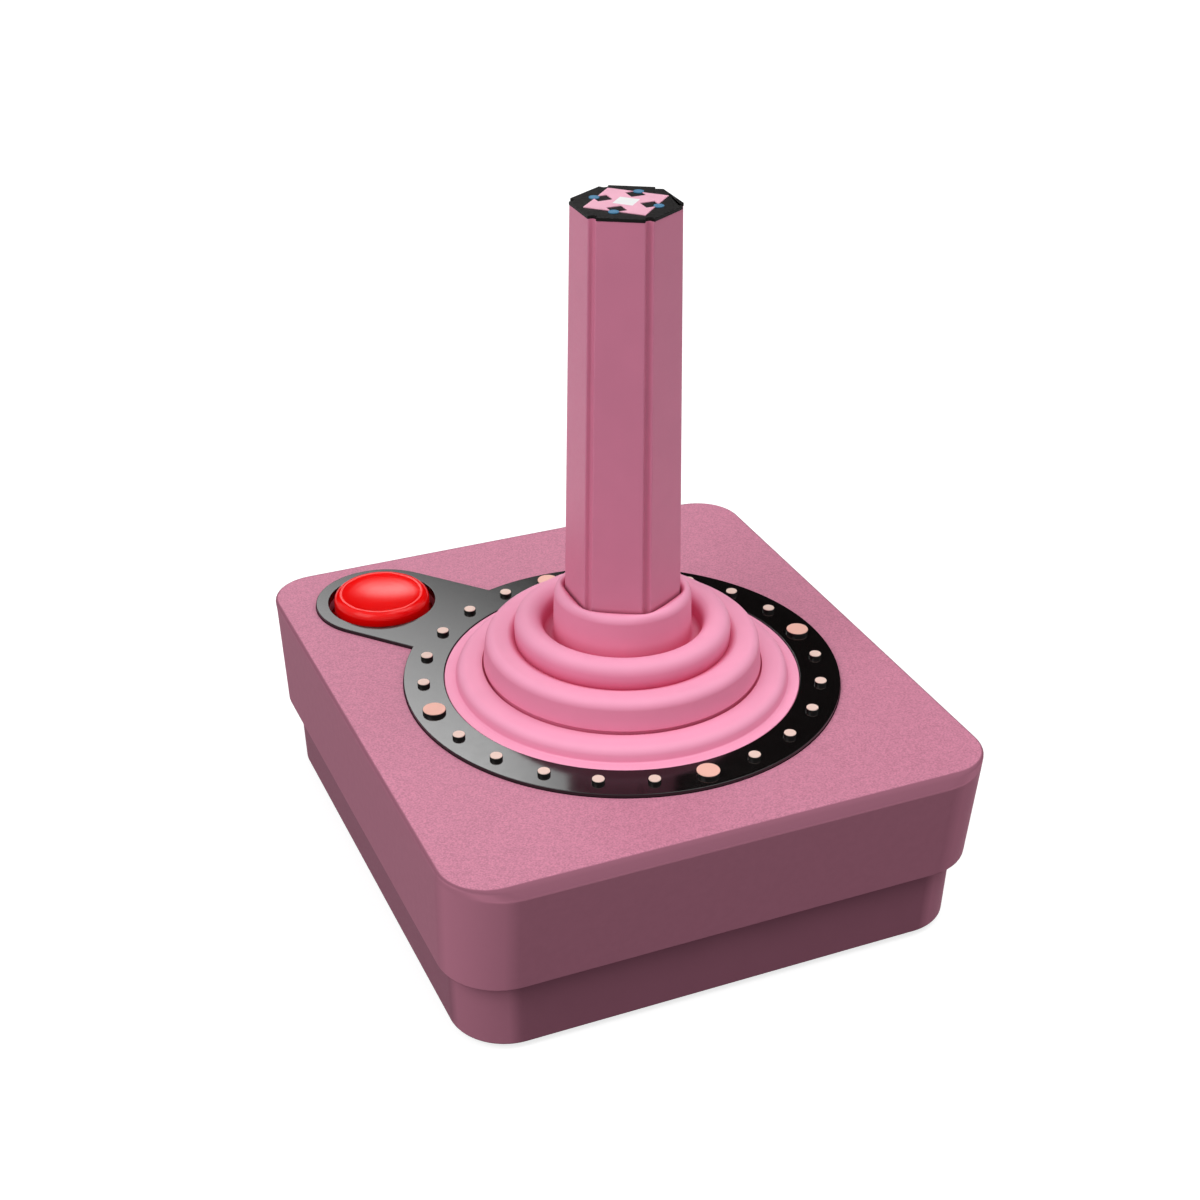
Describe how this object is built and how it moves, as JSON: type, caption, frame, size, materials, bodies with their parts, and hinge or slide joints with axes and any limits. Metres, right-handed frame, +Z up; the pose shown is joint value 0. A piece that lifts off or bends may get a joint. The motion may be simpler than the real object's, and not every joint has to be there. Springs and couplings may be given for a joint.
{
  "type": "arcade joystick",
  "caption": "Tabletop arcade joystick: a tapered hexagonal stick in a stepped rubber boot on a rounded two-shell base, with a round fire button.",
  "frame": {"origin": "centre of the base's footprint, on the surface that the feet stand on", "axes": "+Z up along the stick, +Y to the back, +X to the right as a player holds it"},
  "size_m": [0.0888, 0.1016, 0.1118],
  "materials": {
    "shell_upper": "fine grain, satin",
    "shell_lower": "fine grain, satin",
    "foot_rubber": "matt",
    "bezel_black": "gloss",
    "stud_cream": "satin",
    "stud_peach": "satin",
    "boot_rubber": "satin",
    "inner_plastic": "satin",
    "steel": "bright zinc",
    "board_green": "satin",
    "grip_pink": "satin",
    "cap_black": "satin",
    "print_pink": "satin",
    "print_white": "satin",
    "print_blue": "satin",
    "button_red": "gloss"
  },
  "bodies": {
    "housing": {"upper_housing": "shell_upper", "lower_housing": "shell_lower", "rubber_feet": "foot_rubber", "bezel_plate": "bezel_black", "small_stud_caps": "stud_cream", "large_stud_caps": "stud_peach", "rubber_boot": "boot_rubber", "pivot_frame": "inner_plastic", "pivot_frame_screws": "steel", "circuit_board": "board_green", "board_screws": "steel", "direction_domes": "steel", "fire_dome": "steel", "cable_header": "inner_plastic", "housing_screws": "steel", "button_spring": "steel"},
    "gimbal": {"gimbal_ring": "inner_plastic", "ring_pins": "steel"},
    "stick": {"stick_grip": "grip_pink", "stick_cap": "cap_black", "cap_arrows": "print_pink", "cap_diamond": "print_white", "cap_dots": "print_blue", "stick_shaft": "steel", "cross_pin": "steel", "actuator": "inner_plastic", "actuator_screw": "steel"},
    "button": {"fire_button": "button_red"}
  },
  "joints": [
    {"name": "stick_front_back", "type": "hinge", "parent": "housing", "child": "gimbal", "pos_m": [0.0012, -0.003, 0.0226], "axis": [1, 0, 0], "range_deg": [-8, 8], "stiffness_Nm_per_rad": 1.8, "deforming": ["rubber_boot"]},
    {"name": "stick_left_right", "type": "hinge", "parent": "gimbal", "child": "stick", "pos_m": [0.0012, -0.003, 0.0226], "axis": [0, 1, 0], "range_deg": [-8, 8], "stiffness_Nm_per_rad": 1.8, "deforming": ["rubber_boot"]},
    {"name": "fire_button_press", "type": "slide", "parent": "housing", "child": "button", "axis": [0, 0, -1], "range_m": [0, 0.0014], "stiffness_N_per_m": 800, "deforming": ["button_spring"]}
  ]
}
